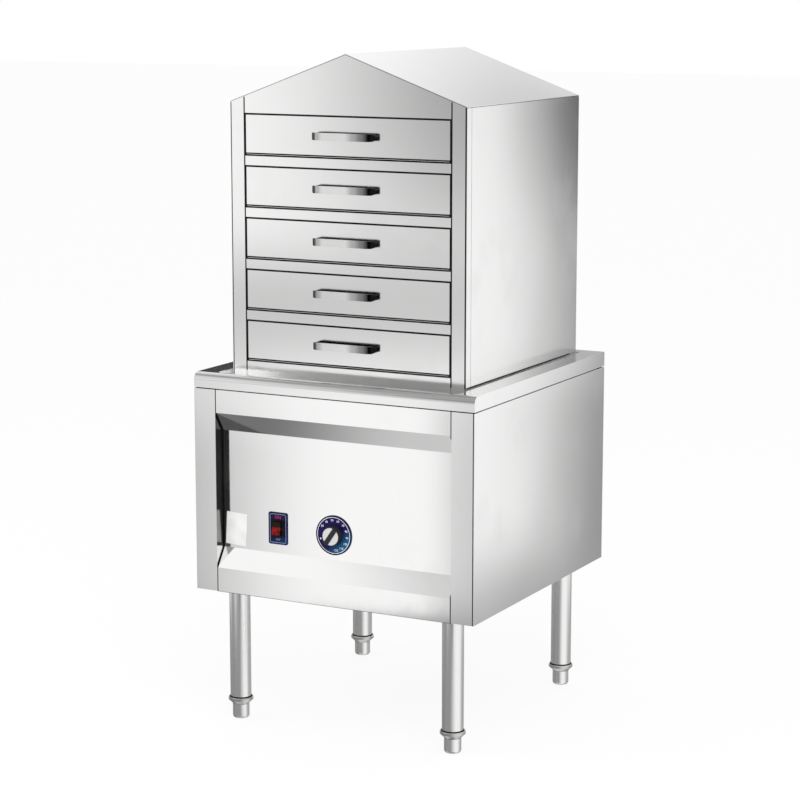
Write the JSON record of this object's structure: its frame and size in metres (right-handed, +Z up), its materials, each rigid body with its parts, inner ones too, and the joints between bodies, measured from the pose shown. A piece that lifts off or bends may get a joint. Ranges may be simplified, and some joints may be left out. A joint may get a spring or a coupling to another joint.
{
  "type": "rice_noodle_roll_steamer",
  "caption": "Free-standing electric steamer for rice noodle rolls: a gabled cabinet of shallow drawers with strap handles on a heated water tank in a square steel base on tube legs.",
  "frame": {"origin": "on the floor below the middle of the square base", "axes": "+Z up, front with drawers and controls towards -Y, the switch side towards -X"},
  "size_m": [0.6, 0.6, 1.3007],
  "materials": {
    "satin_steel": "fine brushed stainless sheet",
    "mirror_steel": "bright stainless sheet, nearly mirror",
    "handle_steel": "satin stainless strap",
    "heater_sheath": "dull sheath of the elements",
    "copper_capillary": "drawn copper tube",
    "valve_brass": "turned brass",
    "dial_enamel": "printed scale plates, dark blue",
    "black_plastic": "moulded",
    "red_plastic": "moulded, lit from inside",
    "grey_plastic": "moulded",
    "white_plastic": "moulded"
  },
  "bodies": {
    "base": {"base_post_left": "satin_steel", "base_post_right": "satin_steel", "side_panel_left": "satin_steel", "side_panel_right": "satin_steel", "rear_panel": "satin_steel", "bottom_panel": "satin_steel", "control_panel": "mirror_steel", "deck": "mirror_steel", "water_tank": "satin_steel", "support_frame": "satin_steel", "heater_elements": "heater_sheath", "thermostat_body": "black_plastic", "thermostat_bulb": "copper_capillary", "dial_plate": "dial_enamel", "switch_plate": "dial_enamel", "switch_housing": "black_plastic", "contactor": "grey_plastic", "terminal_block": "white_plastic", "cable_gland": "black_plastic", "drain_pipe": "satin_steel", "drain_valve_body": "valve_brass", "leg_sockets": "satin_steel", "leg_collars": "satin_steel", "leg_front_left": "satin_steel", "leg_front_right": "satin_steel", "leg_rear_left": "satin_steel", "leg_rear_right": "satin_steel"},
    "cabinet": {"cabinet_post_left": "mirror_steel", "cabinet_post_right": "mirror_steel", "cabinet_side_left": "satin_steel", "cabinet_side_right": "satin_steel", "cabinet_rear_panel": "satin_steel", "gable_front": "mirror_steel", "roof": "satin_steel", "cabinet_front_rails": "mirror_steel", "drawer_runners": "satin_steel"},
    "thermostat_knob": {"dial_knob": "black_plastic", "thermostat_shaft": "satin_steel"},
    "power_rocker": {"switch_rocker": "red_plastic"},
    "drain_lever": {"drain_valve_lever": "satin_steel"},
    "drawer_1": {"drawer_1_front": "mirror_steel", "drawer_1_tray": "satin_steel", "drawer_1_handle": "handle_steel"},
    "drawer_2": {"drawer_2_front": "mirror_steel", "drawer_2_tray": "satin_steel", "drawer_2_handle": "handle_steel"},
    "drawer_3": {"drawer_3_front": "mirror_steel", "drawer_3_tray": "satin_steel", "drawer_3_handle": "handle_steel"},
    "drawer_4": {"drawer_4_front": "mirror_steel", "drawer_4_tray": "satin_steel", "drawer_4_handle": "handle_steel"},
    "drawer_5": {"drawer_5_front": "mirror_steel", "drawer_5_tray": "satin_steel", "drawer_5_handle": "handle_steel"},
    "levelling_front_left": {"foot_front_left": "satin_steel"},
    "levelling_front_right": {"foot_front_right": "satin_steel"},
    "levelling_rear_left": {"foot_rear_left": "satin_steel"},
    "levelling_rear_right": {"foot_rear_right": "satin_steel"}
  },
  "joints": [
    {"name": "cabinet_lift", "type": "slide", "parent": "base", "child": "cabinet", "axis": [0, 0, 1], "range_m": [0, 0.12]},
    {"name": "thermostat_turn", "type": "hinge", "parent": "base", "child": "thermostat_knob", "pos_m": [-0.0068, -0.277, 0.398], "axis": [0, 1, 0], "range_deg": [-35, 265]},
    {"name": "power_rock", "type": "hinge", "parent": "base", "child": "power_rocker", "pos_m": [-0.1295, -0.2765, 0.398], "axis": [1, 0, 0], "range_deg": [0, 20]},
    {"name": "drain_valve_turn", "type": "hinge", "parent": "base", "child": "drain_lever", "pos_m": [-0.11, 0.11, 0.24], "axis": [0, 1, 0], "range_deg": [-90, 0]},
    {"name": "drawer_1_slide", "type": "slide", "parent": "cabinet", "child": "drawer_1", "axis": [0, -1, 0], "range_m": [0, 0.4]},
    {"name": "drawer_2_slide", "type": "slide", "parent": "cabinet", "child": "drawer_2", "axis": [0, -1, 0], "range_m": [0, 0.4]},
    {"name": "drawer_3_slide", "type": "slide", "parent": "cabinet", "child": "drawer_3", "axis": [0, -1, 0], "range_m": [0, 0.4]},
    {"name": "drawer_4_slide", "type": "slide", "parent": "cabinet", "child": "drawer_4", "axis": [0, -1, 0], "range_m": [0, 0.4]},
    {"name": "drawer_5_slide", "type": "slide", "parent": "cabinet", "child": "drawer_5", "axis": [0, -1, 0], "range_m": [0, 0.4]},
    {"name": "levelling_front_left_screw", "type": "slide", "parent": "base", "child": "levelling_front_left", "axis": [0, 0, -1], "range_m": [0, 0.025]},
    {"name": "levelling_front_right_screw", "type": "slide", "parent": "base", "child": "levelling_front_right", "axis": [0, 0, -1], "range_m": [0, 0.025]},
    {"name": "levelling_rear_left_screw", "type": "slide", "parent": "base", "child": "levelling_rear_left", "axis": [0, 0, -1], "range_m": [0, 0.025]},
    {"name": "levelling_rear_right_screw", "type": "slide", "parent": "base", "child": "levelling_rear_right", "axis": [0, 0, -1], "range_m": [0, 0.025]}
  ]
}
